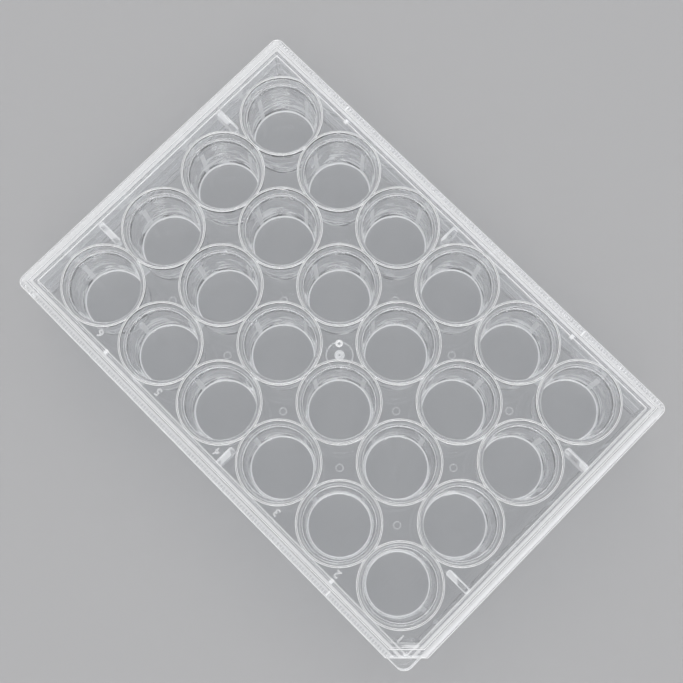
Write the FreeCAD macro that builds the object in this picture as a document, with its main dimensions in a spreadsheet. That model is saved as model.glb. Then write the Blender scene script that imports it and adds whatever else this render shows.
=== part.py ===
import FreeCAD, Part
import math
import os
import re
import Sketcher

# A 24-well culture plate with its lid on, in millimetres.
# The origin is the middle of the footprint, on the surface that the plate stands on.
# +X runs from column 1 to column 6, +Y from row D to row A, and +Z is up.

COLUMNS = 6
ROWS = 4

# alias, size, what it is
SIZES = [
    ("foot_length", 127.76, "flange, outside, along X"),
    ("foot_width", 85.48, "flange, outside, along Y"),
    ("foot_corner", 2.6, "flange corner radius"),
    ("edge_round", 0.25, "rounding of the plate's and the lid's outer edges"),
    ("flange_height", 7.3, "top of the flange"),
    ("flange_wall", 1.15, "flange wall thickness"),
    ("shelf_depth", 1.1, "thickness of the shelf on top of the flange"),
    ("wall_inset", 2.35, "flange face to the outside of the side wall"),
    ("wall_depth", 1.15, "side wall thickness"),
    ("wall_corner", 1.2, "side wall outer corner radius"),
    ("plate_height", 18.75, "top of the side wall and of the well rims"),
    ("sheet_bottom", 2.1, "underside of the well floors"),
    ("sheet_top", 3.25, "inside of the well floors"),
    ("well_pitch", 19.3, "well to well, both ways"),
    ("bore_top", 8.3, "radius inside a well at its rim"),
    ("bore_floor", 7.74, "radius inside a well at its floor"),
    ("well_wall", 0.8, "thickness of the wall of a well"),
    ("floor_bevel", 0.35, "bevel from a well's wall to its floor"),
    ("rim_bevel", 0.18, "bevel of both edges of a well's rim"),
    ("web_width", 1.0, "web between two wells"),
    ("web_drop", 3.4, "well rims down to the top of the webs"),
    ("lid_inset", 0.1, "flange face to the outside of the lid"),
    ("lid_corner", 1.9, "lid corner radius"),
    ("key_cut", 6.7, "legs of the lid's cut corner at well A1"),
    ("skirt_depth", 1.0, "lid skirt thickness"),
    ("skirt_bottom", 10.3, "lower edge of the lid skirt"),
    ("shoulder_depth", 1.05, "thickness of the lid shoulder"),
    ("vent_gap", 0.1, "side wall up to the lid shoulder, open but for the lugs"),
    ("panel_inset", 2.0, "flange face to the edge of the raised panel"),
    ("panel_rise", 1.0, "shoulder up to the raised panel"),
    ("panel_wall", 1.1, "thickness of the step round the raised panel"),
    ("panel_depth", 1.1, "thickness of the raised panel"),
    ("ring_radius", 9.64, "middle of a ring on the lid"),
    ("ring_width", 0.5, "width of a ring on the lid"),
    ("ring_rise", 1.0, "height of a ring on the lid"),
    ("ring_bevel", 0.16, "bevel of a ring's upper edges"),
    ("bar_width", 1.55, "locating bar under the lid"),
    ("bar_reach", 6.66, "length of a bar at an end of the lid"),
    ("side_bar_reach", 5.05, "length of a bar at a side of the lid"),
    ("bar_round", 0.6, "corner radius of a bar"),
    ("bar_drop", 2.4, "well rims down to the lower edge of the bars"),
    ("bar_gap", 0.15, "bar to the inside of the side wall"),
    ("rib_width", 0.35, "corner rib under the lid"),
    ("rib_reach", 2.3, "length of a corner rib"),
    ("rib_drop", 0.6, "height of a corner rib"),
    ("rib_side", 8.68, "flange face to a corner rib, along X"),
    ("rib_end", 4.2, "flange face to the outer end of a corner rib, along Y"),
    ("lug_width", 0.9, "lug that carries the lid on the side wall"),
    ("lug_reach", 1.2, "length of a lug"),
    ("lug_side", 27.08, "flange face to the middle of a lug, along X"),
    ("lug_end", 2.94, "flange face to the outer end of a lug, along Y"),
    ("gate_outer", 0.85, "gate ring on the lid, outside radius"),
    ("gate_inner", 0.35, "gate ring on the lid, inside radius"),
    ("gate_rise", 0.2, "height of the gate ring"),
]

# Heights and places that follow from the sizes above.
FOLLOWERS = [
    ("web_top", "=plate_height - web_drop", "top of the webs"),
    ("wall_inside", "=wall_inset + wall_depth", "flange face to the inside of the side wall"),
    ("rim_radius", "=bore_top + well_wall", "radius outside a well at its rim"),
    ("foot_radius", "=bore_floor + well_wall", "radius outside a well at its floor"),
    ("shoulder_top", "=plate_height + shoulder_depth", "top of the lid shoulder"),
    ("panel_top", "=shoulder_top + panel_rise", "top of the raised panel"),
    ("panel_under", "=panel_top - panel_depth", "underside of the raised panel"),
    ("first_column", "=-well_pitch * %g" % ((COLUMNS - 1) / 2), "column 1, along X"),
    ("first_row", "=-well_pitch * %g" % ((ROWS - 1) / 2), "row D, along Y"),
]


def new_sheet(doc):
    sheet = doc.addObject("Spreadsheet::Sheet", "Sizes")
    for row, (alias, value, meaning) in enumerate(SIZES + FOLLOWERS, start=1):
        sheet.set(f"A{row}", meaning)
        sheet.set(f"B{row}", str(value))
        sheet.setAlias(f"B{row}", alias)
    doc.recompute()
    return sheet


def sized(expression):
    """The expression with each alias written as a cell of the sheet."""
    aliases = {alias for alias, _, _ in SIZES + FOLLOWERS}
    return re.sub("[a-z_]+", lambda word: f"Sizes.{word[0]}" if word[0] in aliases else word[0], expression)


class Drawing:
    """A sketch on one of its body's own planes, with every size bound to the sheet."""

    def __init__(self, body, name, height="0", role="XY_Plane"):
        plane = next(part for part in body.Origin.OriginFeatures if part.Role == role)
        self.sheet = body.Document.getObject("Sizes")
        self.sketch = body.newObject("Sketcher::SketchObject", name)
        self.sketch.AttachmentSupport = [(plane, "")]
        self.sketch.MapMode = "FlatFace"
        self.sketch.setExpression("AttachmentOffset.Base.z", sized(height))

    def value(self, expression):
        return float(self.sheet.evalExpression(sized(expression)))

    def point(self, x, y):
        return FreeCAD.Vector(self.value(x), self.value(y), 0)

    def hold(self, kind, *place, size):
        number = self.sketch.addConstraint(Sketcher.Constraint(kind, *place, self.value(size)))
        self.sketch.setExpression(f"Constraints[{number}]", sized(size))

    def pin(self, geometry, end, x=None, y=None):
        """Hold one end of a piece of geometry at its place from the sketch's origin."""
        if x is not None:
            self.hold("DistanceX", -1, 1, geometry, end, size=x)
        if y is not None:
            self.hold("DistanceY", -1, 1, geometry, end, size=y)

    def tie(self, kind, *place):
        self.sketch.addConstraint(Sketcher.Constraint(kind, *place))

    def polygon(self, points):
        """A closed outline of straight lines, each corner held in X and Y."""
        places = [self.point(x, y) for x, y in points]
        first = self.sketch.GeometryCount
        count = len(points)
        for number in range(count):
            line = Part.LineSegment(places[number], places[(number + 1) % count])
            self.sketch.addGeometry(line, False)
        for number, (x, y) in enumerate(points):
            self.tie("Coincident", first + (number - 1) % count, 2, first + number, 1)
            self.pin(first + number, 1, x, y)

    def circle(self, x, y, radius):
        normal = FreeCAD.Vector(0, 0, 1)
        circle = Part.Circle(self.point(x, y), normal, self.value(radius))
        number = self.sketch.addGeometry(circle, False)
        self.pin(number, 3, x, y)
        self.hold("Radius", number, size=radius)

    def axis(self, x):
        """An upright construction line, to turn a section round."""
        line = Part.LineSegment(self.point(x, "0"), self.point(x, "1"))
        number = self.sketch.addGeometry(line, True)
        self.pin(number, 1, x, "0")
        self.pin(number, 2, x, "1")

    def box(self, low, high, corner=None, cut=None):
        """A box between two places, with round or sharp corners and perhaps a cut one at low X and high Y."""
        stops = []
        for turn, (side_x, side_y) in enumerate([(1, 1), (-1, 1), (-1, -1), (1, -1)]):
            x = low[0] if side_x == 1 else high[0]
            y = low[1] if side_y == 1 else high[1]
            if cut is not None and turn == 3:
                stops.append((f"{x} + ( {cut} )", y, None, None))
                stops.append((x, f"{y} - ( {cut} )", None, None))
            elif corner is None:
                stops.append((x, y, None, None))
            else:
                centre_x, centre_y = f"{x} + {side_x} * ( {corner} )", f"{y} + {side_y} * ( {corner} )"
                stops.append((centre_x, centre_y, corner, math.pi * (1 + turn / 2)))
        self.loop(stops)

    def outline(self, inset, corner=None, cut=None):
        """The footprint drawn inset from the flange's face."""
        half_x = f"( foot_length / 2 - ( {inset} ) )"
        half_y = f"( foot_width / 2 - ( {inset} ) )"
        self.box((f"-1 * {half_x}", f"-1 * {half_y}"), (half_x, half_y), corner, cut)

    def loop(self, stops):
        """Straight lines round a list of points and of arcs, which turn a quarter anticlockwise."""
        shapes = []
        for x, y, radius, start in stops:
            place = self.point(x, y)
            if radius is None:
                shapes.append((place, place, None))
            else:
                circle = Part.Circle(place, FreeCAD.Vector(0, 0, 1), self.value(radius))
                arc = Part.ArcOfCircle(circle, start, start + math.pi / 2)
                shapes.append((arc.StartPoint, arc.EndPoint, self.sketch.addGeometry(arc, False)))
        lines = []
        for number, (_, leave, _) in enumerate(shapes):
            reach = shapes[(number + 1) % len(shapes)][0]
            lines.append(self.sketch.addGeometry(Part.LineSegment(leave, reach), False))
        for number, (x, y, radius, _) in enumerate(stops):
            arc = shapes[number][2]
            if radius is None:
                self.tie("Coincident", lines[number - 1], 2, lines[number], 1)
                self.pin(lines[number], 1, x, y)
            else:
                self.tie("Tangent", lines[number - 1], 2, arc, 1)
                self.tie("Tangent", arc, 2, lines[number], 1)
                self.pin(arc, 3, x, y)
                self.hold("Radius", arc, size=radius)


def extrude(body, kind, drawing, length, backwards=False):
    """A Pad or a Pocket of the drawing, named after it."""
    feature = body.newObject(f"PartDesign::{kind}", f"{drawing.sketch.Name}_{kind.lower()}")
    feature.Profile = drawing.sketch
    feature.Reversed = backwards
    feature.setExpression("Length", sized(length))
    drawing.sketch.Visibility = False
    body.Document.recompute()
    return feature


def turn(body, kind, drawing):
    """A Revolution or a Groove of the drawing round its construction line."""
    feature = body.newObject(f"PartDesign::{kind}", f"{drawing.sketch.Name}_{kind.lower()}")
    feature.Profile = drawing.sketch
    feature.ReferenceAxis = (drawing.sketch, ["Axis0"])
    feature.Angle = 360
    body.Document.recompute()
    return feature


def soften(body, name, drawing, *heights):
    """Round the body's edges so far that lie flat at these heights."""
    before = body.Tip
    levels = [drawing.value(height) for height in heights]
    edges = []
    for number, edge in enumerate(before.Shape.Edges, start=1):
        box = edge.BoundBox
        if any(max(abs(box.ZMin - level), abs(box.ZMax - level)) < 0.001 for level in levels):
            edges.append(f"Edge{number}")
    feature = body.newObject("PartDesign::Fillet", name)
    feature.Base = (before, edges)
    feature.setExpression("Radius", sized("edge_round"))
    body.Document.recompute()


def spread(body, feature, columns, rows, step_x="well_pitch", step_y="well_pitch"):
    """Repeat a feature in columns along +X and rows along +Y."""
    axes = {part.Role: part for part in body.Origin.OriginFeatures}
    pattern = body.newObject("PartDesign::LinearPattern", f"{feature.Name}_grid")
    pattern.Originals = [feature]
    pattern.Direction = (axes["X_Axis"], [""])
    pattern.Direction2 = (axes["Y_Axis"], [""])
    pattern.Mode = "Spacing"
    pattern.Mode2 = "Spacing"
    pattern.Occurrences = columns
    pattern.Occurrences2 = rows
    pattern.setExpression("Offset", sized(step_x))
    pattern.setExpression("Offset2", sized(step_y))
    pattern.Spacings = [-1] * (columns - 1)
    pattern.Spacings2 = [-1] * (rows - 1)
    body.Tip = pattern
    body.Document.recompute()
    return pattern


def cut_at(inset):
    """Legs of the cut corner of an outline, so that its slope stays parallel to the lid's."""
    return f"key_cut - ( {inset} - lid_inset ) * ( 2 - sqrt( 2 ) )"


def well_section(body, name, points):
    """The section of a well or of a ring at column 1 and row D, as radius and height, ready to turn."""
    drawing = Drawing(body, name, "-1 * first_row", "XZ_Plane")
    drawing.polygon([(f"first_column + {radius}", height) for radius, height in points])
    drawing.axis("first_column")
    return drawing


def build_plate(doc):
    """The well plate: a flange, a side wall, a thin sheet and the wells and webs that stand on it."""
    body = doc.addObject("PartDesign::Body", "plate")

    foot = Drawing(body, "foot")
    foot.outline("0", "foot_corner")
    extrude(body, "Pad", foot, "flange_height")
    soften(body, "foot_edges", foot, "0", "flange_height")

    wall = Drawing(body, "wall")
    wall.outline("wall_inset", "wall_corner", cut_at("wall_inset"))
    extrude(body, "Pad", wall, "plate_height")

    inside = Drawing(body, "inside", "plate_height")
    inside.outline("wall_inside", "wall_corner / 2", cut_at("wall_inside"))
    extrude(body, "Pocket", inside, "plate_height - sheet_top")
    soften(body, "wall_edges", inside, "plate_height")

    recess = Drawing(body, "recess")
    recess.outline("flange_wall", "foot_corner - flange_wall")
    extrude(body, "Pocket", recess, "sheet_bottom", backwards=True)

    channel = Drawing(body, "channel")
    channel.outline("flange_wall", "foot_corner - flange_wall")
    channel.outline("wall_inset", "wall_corner", cut_at("wall_inset"))
    extrude(body, "Pocket", channel, "flange_height - shelf_depth", backwards=True)

    tube = well_section(body, "tube", [
        ("0", "sheet_bottom"),
        ("foot_radius", "sheet_bottom"),
        ("foot_radius", "sheet_top"),
        ("rim_radius", "plate_height - rim_bevel"),
        ("rim_radius - rim_bevel", "plate_height"),
        ("0", "plate_height"),
    ])
    spread(body, turn(body, "Revolution", tube), COLUMNS, ROWS)

    add_webs(body)

    bore = well_section(body, "bore", [
        ("0", "sheet_top"),
        ("bore_floor - floor_bevel", "sheet_top"),
        ("bore_floor", "sheet_top + floor_bevel"),
        ("bore_top", "plate_height - rim_bevel"),
        ("bore_top + rim_bevel", "plate_height"),
        ("0", "plate_height"),
    ])
    spread(body, turn(body, "Groove", bore), COLUMNS, ROWS)
    return body


def add_block(body, name, height, low, high, length, corner=None, backwards=False):
    """A straight block that rises, or hangs, from a height."""
    drawing = Drawing(body, name, height)
    drawing.box(low, high, corner)
    return extrude(body, "Pad", drawing, length, backwards)


def add_webs(body):
    """Webs from well to well, and from the wells of columns 2 and 5 to the long walls."""
    half = "web_width / 2"
    rise = "web_top - sheet_top"
    along = add_block(body, "web_along", "sheet_top",
                      ("first_column", f"first_row - {half}"),
                      ("first_column + well_pitch", f"first_row + {half}"), rise)
    spread(body, along, COLUMNS - 1, ROWS)

    across = add_block(body, "web_across", "sheet_top",
                       (f"first_column - {half}", "first_row"),
                       (f"first_column + {half}", "first_row + well_pitch"), rise)
    spread(body, across, COLUMNS, ROWS - 1)

    left, right = f"first_column + well_pitch - {half}", f"first_column + well_pitch + {half}"
    wall = "foot_width / 2 - wall_inside + wall_depth / 2"
    for name, near, far in (("web_row_d", f"-1 * ( {wall} )", "first_row"),
                            ("web_row_a", "-1 * first_row", wall)):
        web = add_block(body, name, "sheet_top", (left, near), (right, far), rise)
        spread(body, web, 2, 1, "3 * well_pitch")


def build_lid(doc):
    """The lid: a skirt, a shoulder over the side wall, and a raised panel with rings."""
    body = doc.addObject("PartDesign::Body", "lid")

    skirt = Drawing(body, "skirt", "skirt_bottom")
    skirt.outline("lid_inset", "lid_corner", "key_cut")
    extrude(body, "Pad", skirt, "shoulder_top - skirt_bottom")
    soften(body, "skirt_edges", skirt, "skirt_bottom", "shoulder_top")

    panel = Drawing(body, "panel", "plate_height")
    panel.outline("panel_inset", cut=cut_at("panel_inset"))
    extrude(body, "Pad", panel, "panel_top - plate_height")
    soften(body, "panel_edges", panel, "panel_top")

    skirt_inside = "lid_inset + skirt_depth"
    hollow = Drawing(body, "hollow", "skirt_bottom")
    hollow.outline(skirt_inside, "lid_corner - skirt_depth", cut_at(f"( {skirt_inside} )"))
    extrude(body, "Pocket", hollow, "plate_height + vent_gap - skirt_bottom", backwards=True)

    headroom_edge = "panel_inset + panel_wall"
    headroom = Drawing(body, "headroom", "plate_height")
    headroom.outline(headroom_edge, cut=cut_at(f"( {headroom_edge} )"))
    extrude(body, "Pocket", headroom, "panel_under - plate_height", backwards=True)

    ring = well_section(body, "ring", [
        ("( ring_radius - ring_width / 2 )", "panel_top"),
        ("( ring_radius + ring_width / 2 )", "panel_top"),
        ("( ring_radius + ring_width / 2 )", "panel_top + ring_rise - ring_bevel"),
        ("( ring_radius + ring_width / 2 - ring_bevel )", "panel_top + ring_rise"),
        ("( ring_radius - ring_width / 2 + ring_bevel )", "panel_top + ring_rise"),
        ("( ring_radius - ring_width / 2 )", "panel_top + ring_rise - ring_bevel"),
    ])
    spread(body, turn(body, "Revolution", ring), COLUMNS, ROWS)

    gate = Drawing(body, "gate", "panel_top")
    gate.circle("0", "0", "gate_outer")
    gate.circle("0", "0", "gate_inner")
    extrude(body, "Pad", gate, "gate_rise")

    add_bars(body)
    add_ribs(body)
    add_lugs(body)
    return body


def add_bars(body):
    """Six bars under the panel that sit just inside the side wall, in the gaps between the wells."""
    drop = "panel_under - plate_height + bar_drop"
    half = "bar_width / 2"
    end = "( foot_length / 2 - wall_inside - bar_gap )"
    low, high = f"-1 * well_pitch - {half}", f"-1 * well_pitch + {half}"
    for name, near, far in (("bars_column_1", f"-1 * {end}", f"-1 * {end} + bar_reach"),
                            ("bars_column_6", f"{end} - bar_reach", end)):
        pad = add_block(body, name, "panel_under", (near, low), (far, high), drop, "bar_round", True)
        spread(body, pad, 1, 2, step_y="2 * well_pitch")
    side = "( foot_width / 2 - wall_inside - bar_gap )"
    for name, near, far in (("bar_row_d", f"-1 * {side}", f"-1 * {side} + side_bar_reach"),
                            ("bar_row_a", f"{side} - side_bar_reach", side)):
        add_block(body, name, "panel_under", (f"-1 * {half}", near), (half, far), drop, "bar_round", True)


def add_ribs(body):
    """Two thin ribs under the panel, beside the corner wells of column 1."""
    half = "rib_width / 2"
    middle = "rib_side - foot_length / 2"
    end = "( foot_width / 2 - rib_end )"
    for name, near, far in (("rib_row_d", f"-1 * {end}", f"-1 * {end} + rib_reach"),
                            ("rib_row_a", f"{end} - rib_reach", end)):
        low, high = (f"{middle} - {half}", near), (f"{middle} + {half}", far)
        add_block(body, name, "panel_under", low, high, "rib_drop", backwards=True)


def add_lugs(body):
    """Four lugs under the panel that rest on the side wall, so that air passes under the shoulder."""
    half = "lug_width / 2"
    middle = "lug_side - foot_length / 2"
    end = "lug_end - foot_width / 2"
    low, high = (f"{middle} - {half}", end), (f"{middle} + {half}", f"{end} + lug_reach")
    pad = add_block(body, "lugs", "panel_under", low, high, "panel_under - plate_height", backwards=True)
    spread(body, pad, 2, 2, "foot_length - 2 * lug_side", "foot_width - 2 * lug_end - lug_reach")


def check(doc):
    """Stop on anything that failed to build or that the sheet doesn't hold fully."""
    for item in doc.Objects:
        if "Invalid" in item.State or "Error" in item.State:
            raise RuntimeError(f"{item.Name} failed: {item.State}")
        if item.isDerivedFrom("Sketcher::SketchObject") and not item.FullyConstrained:
            raise RuntimeError(f"{item.Name} is loose")


def export(bodies):
    os.makedirs("parts", exist_ok=True)
    for body in bodies:
        shape = body.Shape
        if shape.isNull() or not shape.isValid() or len(shape.Solids) != 1:
            raise RuntimeError(f"{body.Label} is not one valid solid")
        shape.exportStep(f"parts/{body.Label}.step")
        print(f"{body.Label}: {shape.Volume:.1f} mm3, {len(shape.Faces)} faces, {shape.BoundBox}")


doc = FreeCAD.newDocument("WellPlate")
new_sheet(doc)
bodies = [build_plate(doc), build_lid(doc)]
doc.recompute()
check(doc)
export(bodies)
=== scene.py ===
import math

import bmesh
import bpy
from mathutils import Matrix, Vector


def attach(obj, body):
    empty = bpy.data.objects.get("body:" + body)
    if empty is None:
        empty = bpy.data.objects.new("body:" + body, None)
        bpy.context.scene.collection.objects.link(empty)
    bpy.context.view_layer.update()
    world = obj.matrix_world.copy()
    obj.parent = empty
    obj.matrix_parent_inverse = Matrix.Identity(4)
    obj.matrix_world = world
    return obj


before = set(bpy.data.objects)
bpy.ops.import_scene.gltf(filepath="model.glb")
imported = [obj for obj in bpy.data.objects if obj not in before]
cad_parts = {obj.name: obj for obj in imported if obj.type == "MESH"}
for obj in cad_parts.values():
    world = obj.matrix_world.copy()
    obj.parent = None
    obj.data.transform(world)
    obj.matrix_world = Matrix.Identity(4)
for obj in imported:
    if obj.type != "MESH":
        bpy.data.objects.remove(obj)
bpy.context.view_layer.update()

MM = 0.001

# Sizes of the CAD model, in mm. Heights are counted from the floor.
HALF_X, HALF_Y = 63.88, 42.74      # half the length and width of the flange
PITCH = 19.3                       # well to well, both ways
COLUMN_X = [PITCH * (column - 2.5) for column in range(6)]
SHEET = 3.25                       # inside of the well floors
WEB_TOP = 15.35
BAR_BOTTOM = 16.35                 # lower faces of the bars under the lid
WALL_TOP = 18.75                   # top of the side wall, where the lid's lugs rest
SHOULDER = 19.8                    # top of the lid's shoulder
PANEL = 20.8                       # top of the lid's raised panel
LID_SIDE = 42.64                   # outside of the lid's long sides


# Materials

TINT = (0.993, 0.996, 1.0, 1)
HAZE = 0.04
IOR = 1.59

# How much of the light each kind of surface scatters. The rest passes or is reflected.
EDGE_SCATTER = 0.85
RIM_SCATTER = 0.5
BORDER_SCATTER = 0.4
BORDER_FLAT_SCATTER = 0.05
# the next is the strength of the painted highlight stripes along the lid's border
BAND_HIGHLIGHT_SCATTER = 0.45
UNDER_LID_SCATTER = 0.8
WEB_SCATTER = 0.9
RAISED_SCATTER = 0.45
NUMBER_SCATTER = 0.2
HAIR_SCATTER = 0.03

RIB_PITCH = 0.792                  # grip ribs on the lid, in mm
REACH = 5.0                        # distances from the part's edge are counted in this many mm
BORDER, WELLS = 3.3, 4.2           # where the border ends and the wells begin, in mm from the edge
RISE = 20.0                        # heights are counted in this many mm for ramps
# RIBBED is the part of the border where the painted rib highlight stripes show
RIBBED = 1.24                      # part of the border where the grip ribs show, in mm from the edge

# Painted highlight: bright bands on the lid's border, standing in for light carried along the border:
# distance from the edge, in REACH, and strength
BORDER_HIGHLIGHT_BANDS = ((0.09, 0.0), (0.11, 1.0), (0.34, 1.0), (0.36, 0.0), (0.46, 0.0), (0.48, 1.0),
         (0.6, 1.0), (0.62, 0.0), (0.73, 0.0), (0.75, 1.0), (0.8, 1.0), (0.82, 0.0))


def new_material(name):
    material = bpy.data.materials.new(name)
    material.use_nodes = True
    material.node_tree.nodes.clear()
    return material, material.node_tree.nodes, material.node_tree.links


def add(nodes, kind, **settings):
    node = nodes.new(kind)
    for key, value in settings.items():
        if key in node.inputs:
            node.inputs[key].default_value = value
        else:
            setattr(node, key, value)
    return node


def ramp(nodes, links, source, *stops):
    """A grey ramp through stops, each a position and a level."""
    node = add(nodes, "ShaderNodeValToRGB")
    elements = node.color_ramp.elements
    elements[0].position, elements[1].position = stops[0][0], stops[-1][0]
    elements[0].color, elements[1].color = (*[stops[0][1]] * 3, 1), (*[stops[-1][1]] * 3, 1)
    for position, level in stops[1:-1]:
        elements.new(position).color = (level, level, level, 1)
    links.new(source, node.inputs[0])
    return node.outputs[0]


def calculate(nodes, links, operation, *values):
    node = add(nodes, "ShaderNodeMath", operation=operation)
    for socket, value in zip(node.inputs, values):
        if isinstance(value, (int, float)):
            socket.default_value = value
        else:
            links.new(value, socket)
    return node.outputs[0]


def stretched_noise(nodes, links, coordinates, scale, turn=0.0):
    squash = add(nodes, "ShaderNodeMapping")
    squash.inputs["Scale"].default_value = scale
    squash.inputs["Rotation"].default_value = (0.0, 0.0, math.radians(turn))
    links.new(coordinates, squash.inputs["Vector"])
    noise = add(nodes, "ShaderNodeTexNoise", Scale=1.0, Detail=0.0)
    links.new(squash.outputs[0], noise.inputs["Vector"])
    return noise.outputs[0]


def clear_plastic(name, lid=False, least=0.0):
    """Moulded clear polystyrene. Flat faces are clear, with faint flow lines and hairline scratches. Bevels
    scatter light, and so do the border of the part, the webs, what hangs under the lid, and the walls of the
    wells, streaked with mould level lines. The walls scatter most near their feet, a painted highlight that
    stands in for side light refracted up at the well feet. On the lid, bright stripes along the border and at
    the grip-rib pitch are painted highlights too. Every surface scatters at least the given part of the
    light."""
    material, nodes, links = new_material(name)

    def maths(operation, *values):
        return calculate(nodes, links, operation, *values)

    def off_middle(axis):
        """Distance from the nearest middle line of a row or a column of wells, in well pitches."""
        pitches = maths("FRACT", maths("MULTIPLY", axis, 1 / (PITCH * MM)))
        return maths("ABSOLUTE", maths("SUBTRACT", pitches, 0.5))

    def below(height):
        return maths("LESS_THAN", z, height * MM)

    where = add(nodes, "ShaderNodeTexCoord").outputs["Object"]
    flow = add(nodes, "ShaderNodeTexNoise", Scale=90.0, Detail=1.0)
    links.new(where, flow.inputs["Vector"])
    hairs = ramp(nodes, links, stretched_noise(nodes, links, where, (2600.0, 160.0, 300.0), 31),
                 (0.72, 0.0), (0.8, 1.0))
    level_lines = ramp(nodes, links, stretched_noise(nodes, links, where, (260.0, 260.0, 900.0)),
                       (0.5, 0.0), (0.6, 1.0))

    surface = add(nodes, "ShaderNodeNewGeometry")
    normal = add(nodes, "ShaderNodeSeparateXYZ")
    links.new(surface.outputs["True Normal"], normal.inputs[0])
    slope = maths("ABSOLUTE", normal.outputs["Z"])
    bevelled = ramp(nodes, links, slope, (0.12, 0.0), (0.22, 1.0), (0.95, 1.0), (0.985, 0.0))
    upright = ramp(nodes, links, slope, (0.12, 1.0), (0.2, 0.0))

    place = add(nodes, "ShaderNodeSeparateXYZ")
    links.new(where, place.inputs[0])
    x, y, z = (place.outputs[axis] for axis in "XYZ")
    past_x = maths("SUBTRACT", HALF_X * MM, maths("ABSOLUTE", x))
    past_y = maths("SUBTRACT", HALF_Y * MM, maths("ABSOLUTE", y))
    inward = maths("MULTIPLY", maths("MINIMUM", past_x, past_y), 1 / (REACH * MM))
    height = maths("MULTIPLY", z, 1 / (RISE * MM))
    border = maths("LESS_THAN", inward, BORDER / REACH)
    if lid:
        # painted highlight: a sine at the grip ribs' pitch draws bright stripes on the border, standing in
        # for light through the ribs
        ribs = maths("SINE", maths("MULTIPLY", x, 2 * math.pi / (RIB_PITCH * MM)))
        ribs = maths("MULTIPLY_ADD", ribs, 0.5, 0.5)
        on_skirt = maths("GREATER_THAN", maths("ABSOLUTE", y), (HALF_Y - RIBBED) * MM)
        # painted highlight: the rib-pitch stripes are added to the border's haze on its upright faces
        rim_and_rib_glints = maths("MULTIPLY_ADD", maths("MULTIPLY", ribs, on_skirt), 0.35, BORDER_SCATTER)
        side = maths("MULTIPLY", below(SHOULDER - 0.05), UNDER_LID_SCATTER)
        edges = EDGE_SCATTER

        # painted shade: dark lines between the painted rib stripes dim the border's bright bands
        rib_gap_shade = maths("MULTIPLY", maths("SUBTRACT", 1.0, ribs), on_skirt)
        # painted highlight: bright stripes along the lid's border by distance from the edge, standing in for
        # light carried through the border
        painted_bands = ramp(nodes, links, inward, *BORDER_HIGHLIGHT_BANDS)
        painted_bands = maths("MULTIPLY", painted_bands, maths("MULTIPLY_ADD", rib_gap_shade, -0.6, 1.0))
        painted_bands = maths("MULTIPLY", painted_bands, maths("SUBTRACT", 1.0, below(SHOULDER - 0.05)))
        hanging = maths("MULTIPLY", below(WALL_TOP + 0.25), maths("SUBTRACT", 1.0, border))
        mottled = maths("MULTIPLY", hanging, maths("MULTIPLY_ADD", level_lines, 0.5, 0.08))
        lugs = maths("COMPARE", z, WALL_TOP * MM, 0.02 * MM)
        flat = maths("MAXIMUM", maths("MULTIPLY", painted_bands, BAND_HIGHLIGHT_SCATTER), mottled)
        flat = maths("MAXIMUM", flat, maths("MULTIPLY", lugs, UNDER_LID_SCATTER))
    else:
        # painted highlight: the well walls scatter more the lower they are, standing in for side light
        # refracted up at the well feet
        painted_foot_light = ramp(nodes, links, height, (0.16, 1.0), (0.4, 0.85), (0.65, 0.4), (0.95, 0.12))
        wells = maths("GREATER_THAN", inward, WELLS / REACH)
        walls = maths("MULTIPLY", maths("MULTIPLY", painted_foot_light, wells), maths("ADD", level_lines, 0.16))
        at_web = maths("LESS_THAN", maths("MINIMUM", off_middle(x), off_middle(y)), 0.6 / PITCH)
        webs = maths("MULTIPLY", maths("MULTIPLY", at_web, below(WEB_TOP)), WEB_SCATTER)
        side = maths("MAXIMUM", walls, webs)
        rim_and_rib_glints = BORDER_SCATTER
        edges = ramp(nodes, links, height, (0.4, EDGE_SCATTER), (0.6, RIM_SCATTER))
        flat = maths("MULTIPLY", border, BORDER_FLAT_SCATTER)
    side = maths("MAXIMUM", side, maths("MULTIPLY", border, rim_and_rib_glints))

    # A wall that is looked along shows more of its haze, because there is more plastic behind it.
    graze = add(nodes, "ShaderNodeLayerWeight", Blend=0.5).outputs["Facing"]
    side = maths("MULTIPLY", maths("MULTIPLY", upright, side), maths("MULTIPLY_ADD", graze, 0.9, 0.1))
    scatter = maths("MAXIMUM", maths("MULTIPLY", bevelled, edges), side)
    scatter = maths("MAXIMUM", scatter, flat)
    scatter = maths("MAXIMUM", scatter, maths("MULTIPLY_ADD", hairs, HAIR_SCATTER, least))

    rough = ramp(nodes, links, flow.outputs[0], (0.58, 0.0), (0.8, HAZE))
    rough = maths("MULTIPLY_ADD", bevelled, 0.25, rough)
    bump = add(nodes, "ShaderNodeBump", Strength=0.10, Distance=0.00004)
    links.new(maths("MULTIPLY_ADD", hairs, 0.1, flow.outputs[0]), bump.inputs["Height"])

    plastic = add(nodes, "ShaderNodeBsdfPrincipled", IOR=IOR)
    plastic.inputs["Base Color"].default_value = TINT
    links.new(maths("SUBTRACT", 1.0, scatter), plastic.inputs["Transmission Weight"])
    links.new(rough, plastic.inputs["Roughness"])
    links.new(bump.outputs[0], plastic.inputs["Normal"])

    # Shadow and diffuse rays pass straight through, a little dimmed, so that the floor under the part is lit.
    edge = add(nodes, "ShaderNodeLayerWeight", Blend=0.35)
    thin = add(nodes, "ShaderNodeMix", data_type="RGBA")
    thin.inputs[6].default_value = (1.0, 1.0, 1.0, 1)
    thin.inputs[7].default_value = (0.88, 0.89, 0.9, 1)
    links.new(edge.outputs["Facing"], thin.inputs[0])
    through = add(nodes, "ShaderNodeBsdfTransparent")
    links.new(thin.outputs[2], through.inputs["Color"])

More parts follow.
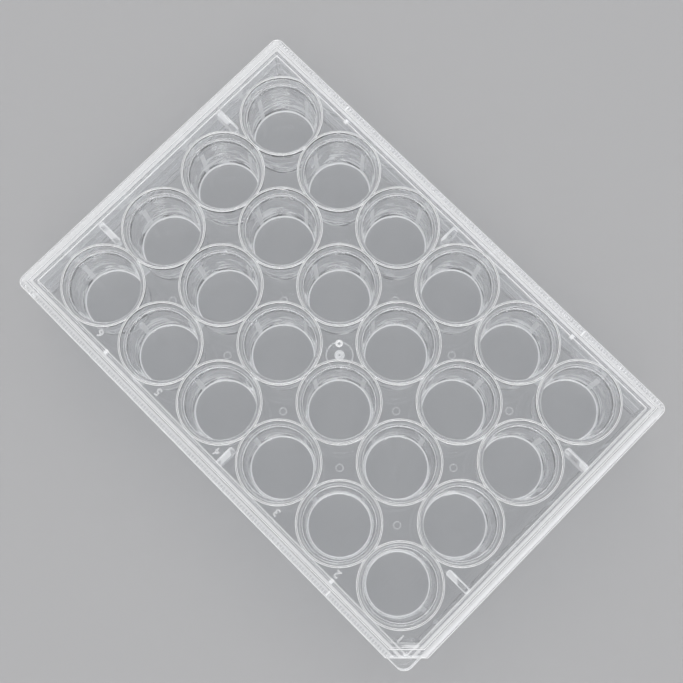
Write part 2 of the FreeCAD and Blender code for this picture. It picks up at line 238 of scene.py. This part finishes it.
    path = add(nodes, "ShaderNodeLightPath")
    passing = maths("MAXIMUM", path.outputs["Is Shadow Ray"], path.outputs["Is Diffuse Ray"])
    blend = add(nodes, "ShaderNodeMixShader")
    links.new(passing, blend.inputs[0])
    links.new(plastic.outputs[0], blend.inputs[1])
    links.new(through.outputs[0], blend.inputs[2])
    out = add(nodes, "ShaderNodeOutputMaterial")
    links.new(blend.outputs[0], out.inputs["Surface"])
    return material


def paper(name, colour):
    """Matt paper with a fine grain."""
    material, nodes, links = new_material(name)
    shade = add(nodes, "ShaderNodeBsdfPrincipled", **{"Roughness": 0.9, "Specular IOR Level": 0.1})
    where = add(nodes, "ShaderNodeTexCoord")
    grain = add(nodes, "ShaderNodeTexNoise", Scale=900.0, Detail=4.0)
    links.new(where.outputs["Object"], grain.inputs["Vector"])
    bump = add(nodes, "ShaderNodeBump", Strength=0.05, Distance=0.0001)
    links.new(grain.outputs[0], bump.inputs["Height"])
    links.new(bump.outputs[0], shade.inputs["Normal"])
    shade.inputs["Base Color"].default_value = (*colour, 1)
    out = add(nodes, "ShaderNodeOutputMaterial")
    links.new(shade.outputs[0], out.inputs["Surface"])
    return material


plate_material = clear_plastic("clear_polystyrene_plate")
lid_material = clear_plastic("clear_polystyrene_lid", lid=True)
raised_material = clear_plastic("clear_polystyrene_raised", lid=True, least=RAISED_SCATTER)
number_material = clear_plastic("clear_polystyrene_number", lid=True, least=NUMBER_SCATTER)


# Shading: bevels are shaded as small rounds, and flat faces stay flat.

def new_soft_shading():
    tree = bpy.data.node_groups.new("soft_shading", "GeometryNodeTree")
    tree.interface.new_socket("Geometry", in_out="INPUT", socket_type="NodeSocketGeometry")
    tree.interface.new_socket("Geometry", in_out="OUTPUT", socket_type="NodeSocketGeometry")
    nodes, links = tree.nodes, tree.links
    source = nodes.new("NodeGroupInput")
    weld = nodes.new("GeometryNodeMergeByDistance")
    weld.inputs["Distance"].default_value = 0.002 * MM
    plain = nodes.new("GeometryNodeRemoveAttribute")
    plain.inputs["Name"].default_value = "custom_normal"
    faces = nodes.new("GeometryNodeSetShadeSmooth")
    faces.domain = "FACE"
    angle = nodes.new("GeometryNodeInputMeshEdgeAngle")
    small = nodes.new("FunctionNodeCompare")
    small.data_type, small.operation = "FLOAT", "LESS_THAN"
    small.inputs[1].default_value = math.radians(52)
    links.new(angle.outputs["Unsigned Angle"], small.inputs[0])
    edges = nodes.new("GeometryNodeSetShadeSmooth")
    edges.domain = "EDGE"
    links.new(small.outputs[0], edges.inputs["Shade Smooth"])
    result = nodes.new("NodeGroupOutput")
    chain = [source, weld, plain, faces, edges, result]
    for before, after in zip(chain, chain[1:]):
        links.new(before.outputs[0], after.inputs[0])
    return tree


soft_shading = new_soft_shading()


def shade_softly(item):
    item.modifiers.new("soft_shading", "NODES").node_group = soft_shading
    weighted = item.modifiers.new("weighted_normals", "WEIGHTED_NORMAL")
    weighted.mode = "FACE_AREA"
    weighted.keep_sharp = True


for node, material in (("plate", plate_material), ("lid", lid_material)):
    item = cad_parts[node]
    for slot in item.material_slots:
        slot.material = material
    shade_softly(item)


# Small moulded details, in mm, each a raised shape that stands on the surface of its CAD node.

SINK = 0.03                        # how far the foot of a detail lies inside its CAD node


def new_piece(name, vertices, faces, node, material):
    mesh = bpy.data.meshes.new(name)
    mesh.from_pydata([tuple(value * MM for value in vertex) for vertex in vertices], [], faces)
    shape = bmesh.new()
    shape.from_mesh(mesh)
    bmesh.ops.recalc_face_normals(shape, faces=shape.faces)
    shape.to_mesh(mesh)
    shape.free()
    piece = bpy.data.objects.new(name, mesh)
    bpy.context.scene.collection.objects.link(piece)
    finish_piece(piece, material)


def finish_piece(piece, material):
    """Shade a detail as the CAD nodes are shaded, give it its material, and tie it to the body root."""
    piece.data.materials.clear()
    piece.data.materials.append(material)
    shade_softly(piece)
    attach(piece, "root")


def loop_faces(first, segments, count):
    """The faces of a closed loop of sections, each of count points, from vertex number first."""
    faces = []
    for step in range(segments):
        here, there = first + step * count, first + (step + 1) % segments * count
        for number in range(count):
            after = (number + 1) % count
            faces.append((here + number, there + number, there + after, here + after))
    return faces


def turned(profile, centres, segments):
    """A closed ring of one profile, given as radius and height, round each centre."""
    vertices, faces = [], []
    for centre_x, centre_y in centres:
        first = len(vertices)
        for step in range(segments):
            angle = 2 * math.pi * step / segments
            across, along = math.cos(angle), math.sin(angle)
            vertices += [(centre_x + radius * across, centre_y + radius * along, height)
                         for radius, height in profile]
        faces += loop_faces(first, segments, len(profile))
    return vertices, faces


def ring_profile(inner, outer, base, rise, bevel):
    """A ring between two radii that stands on a base, with both upper edges bevelled."""
    top = base + rise
    return [(inner, base - SINK), (outer, base - SINK), (outer, top - bevel), (outer - bevel, top),
            (inner + bevel, top), (inner, top - bevel)]


# An ejector pin's mark in each gap between four wells, except the middle one, where the gates are
gaps = [((column - 2) * PITCH, (row - 1) * PITCH) for column in range(5) for row in range(3)]
pins = [gap for gap in gaps if gap != (0.0, 0.0)]
middle = [(0.0, 0.0)]
for name, profile, centres, segments, node, material in (
        ("ejector_marks", ring_profile(0.72, 0.98, SHEET, 0.16, 0.06), pins, 28, "plate", plate_material),
        ("gate_ring", ring_profile(3.1, 3.4, SHEET, 0.3, 0.1), middle, 64, "plate", plate_material),
        ("gate_disc", ring_profile(0.25, 1.25, SHEET, 0.35, 0.15), middle, 40, "plate", raised_material),
        ("lid_gate_ring", ring_profile(0.33, 0.87, PANEL, 0.28, 0.12), middle, 40, "lid", raised_material)):
    new_piece(name, *turned(profile, centres, segments), node, material)


def bar_beads():
    """A fine raised bead round the lower face of each bar under the lid."""
    radius, half = 0.6, 1.55 / 2
    end, reach = 60.23, 6.66 / 2
    side, side_reach = 39.09, 5.05 / 2
    boxes = [(sign * (end - reach), y, reach, half) for sign in (-1, 1) for y in (-PITCH, PITCH)]
    boxes += [(0.0, sign * (side - side_reach), half, side_reach) for sign in (-1, 1)]
    base, tip = BAR_BOTTOM + SINK, BAR_BOTTOM - 0.06
    profile = ((0.03, base), (0.27, base), (0.18, tip), (0.12, tip))
    turns = [math.pi / 12 * (step - 0.5) for step in range(24)]
    vertices, faces = [], []
    for middle_x, middle_y, half_x, half_y in boxes:
        first = len(vertices)
        for turn in turns:
            across, along = math.cos(turn), math.sin(turn)
            corner_x = middle_x + math.copysign(half_x - radius, across)
            corner_y = middle_y + math.copysign(half_y - radius, along)
            vertices += [(corner_x + (radius - inset) * across, corner_y + (radius - inset) * along, height)
                         for inset, height in profile]
        faces += loop_faces(first, len(turns), len(profile))
    new_piece("bar_beads", vertices, faces, "lid", raised_material)


bar_beads()


def grip_ribs(side):
    """Upright half-round ribs along one long side of the lid's skirt."""
    vertices, faces = [], []
    rise, half, low, high, count = 0.1, 0.24, 11.0, 19.2, 131
    turns = [math.pi * step / 6 for step in range(7)]
    section = [(-half * math.cos(turn), LID_SIDE - SINK + (rise + SINK) * math.sin(turn)) for turn in turns]
    size = len(section)
    for number in range(count):
        centre = (number - (count - 1) / 2) * RIB_PITCH
        first = len(vertices)
        for height in (low, high):
            vertices += [(centre + x, side * y, height) for x, y in section]
        for step in range(size - 1):
            faces.append((first + step, first + step + 1, first + size + step + 1, first + size + step))
        faces.append(tuple(first + step for step in range(size)))
        faces.append(tuple(first + size + step for step in range(size)))
        faces.append((first, first + size, first + 2 * size - 1, first + size - 1))
    new_piece(f"grip_ribs_row_{'a' if side > 0 else 'd'}", vertices, faces, "lid", lid_material)


grip_ribs(1)
grip_ribs(-1)


def split_lines():
    """Fine raised lines across the lid's shoulder, where the parts of the mould met."""
    vertices, faces = [], []
    sections = (0.16, SHOULDER - SINK), (0.16, SHOULDER), (0.06, SHOULDER + 0.07)
    for x, side in ((-38.1, 1), (-38.1, -1), (39.0, -1)):
        first = len(vertices)
        for half, height in sections:
            for y in (40.85, 42.3):
                vertices += [(x - half, side * y, height), (x + half, side * y, height)]
        for low in (first, first + 4):
            faces += [(low, low + 1, low + 5, low + 4), (low + 2, low + 3, low + 7, low + 6),
                      (low, low + 2, low + 6, low + 4), (low + 1, low + 3, low + 7, low + 5)]
        for end in (first, first + 8):
            faces.append((end, end + 1, end + 3, end + 2))
    new_piece("split_lines", vertices, faces, "lid", raised_material)


split_lines()


def column_numbers():
    """The numbers 1 to 6, raised on the panel beside the wells of row A."""
    line, size, half_thickness, bevel = 36.3, 2.6, 0.07, 0.05
    for number, x in enumerate(COLUMN_X, start=1):
        text = bpy.data.curves.new(f"number_{number}", "FONT")
        text.body = str(number)
        text.size = size * MM
        text.align_x = "CENTER"
        text.extrude = half_thickness * MM
        text.bevel_depth = bevel * MM
        text.bevel_resolution = 1
        text.resolution_u = 4
        holder = bpy.data.objects.new(text.name, text)
        mesh = bpy.data.meshes.new_from_object(holder)
        bpy.data.objects.remove(holder)
        middle_x = x - 7.65 if number > 1 else x - 8.15
        middle_z = PANEL + half_thickness + bevel - SINK
        mesh.transform(Matrix.Translation((middle_x * MM, line * MM, middle_z * MM)))
        piece = bpy.data.objects.new(f"column_number_{number}", mesh)
        bpy.context.scene.collection.objects.link(piece)
        finish_piece(piece, number_material)


column_numbers()


# Stage, in metres

def new_floor(half, height):
    mesh = bpy.data.meshes.new("floor")
    corners = [(-half, -half, height), (half, -half, height), (half, half, height), (-half, half, height)]
    mesh.from_pydata(corners, [], [(0, 1, 2, 3)])
    mesh.materials.append(paper("floor_paper", (0.43, 0.43, 0.435)))
    floor = bpy.data.objects.new("floor", mesh)
    bpy.context.scene.collection.objects.link(floor)


new_floor(3.0, -0.00002)


def softbox(name, place, size, power):
    """A square lamp that faces the part."""
    data = bpy.data.lights.new(name, "AREA")
    data.shape = "SQUARE"
    data.size = size
    data.energy = power
    lamp = bpy.data.objects.new(name, data)
    lamp.location = place
    lamp.rotation_euler = (-Vector(place)).to_track_quat("-Z", "Y").to_euler()
    bpy.context.scene.collection.objects.link(lamp)


softbox("key", (-1.05, 0.9, 1.95), 1.2, 17.1)
softbox("fill", (1.41, -1.08, 1.38), 1.2, 11.7)

# A pale room, brightest from low to middle height and darker overhead, where the camera is
world = bpy.data.worlds.new("studio")
bpy.context.scene.world = world
world.use_nodes = True
sky_nodes, sky_links = world.node_tree.nodes, world.node_tree.links
where = sky_nodes.new("ShaderNodeTexCoord")
axis = sky_nodes.new("ShaderNodeSeparateXYZ")
sky = sky_nodes.new("ShaderNodeValToRGB")
sky_links.new(where.outputs["Generated"], axis.inputs[0])
sky_links.new(axis.outputs["Z"], sky.inputs[0])
sky_links.new(sky.outputs[0], sky_nodes["Background"].inputs["Color"])
stops = sky.color_ramp.elements
stops[0].position, stops[0].color = 0.0, (0.5, 0.5, 0.51, 1)
stops[1].position, stops[1].color = 0.92, (0.24, 0.24, 0.245, 1)
for position, grey in ((0.12, 0.95), (0.6, 1.05)):
    stops.new(position).color = (grey, grey, grey * 1.01, 1)

camera_data = bpy.data.cameras.new("camera")
camera_data.lens = 66.446
camera_data.sensor_width = 36.0
camera_data.clip_start = 0.01
camera = bpy.data.objects.new("camera", camera_data)
camera.location = (-0.035553, 0.033076, 0.306542)
camera.rotation_euler = [math.radians(angle) for angle in (9.7323, 0.2445, -135.0245)]
bpy.context.scene.collection.objects.link(camera)
bpy.context.scene.camera = camera

bpy.context.scene.view_settings.view_transform = "Standard"
world.cycles.sampling_method = "NONE"
cycles = bpy.context.scene.cycles
cycles.max_bounces = 20
cycles.transmission_bounces = 20
cycles.glossy_bounces = 8
cycles.transparent_max_bounces = 48
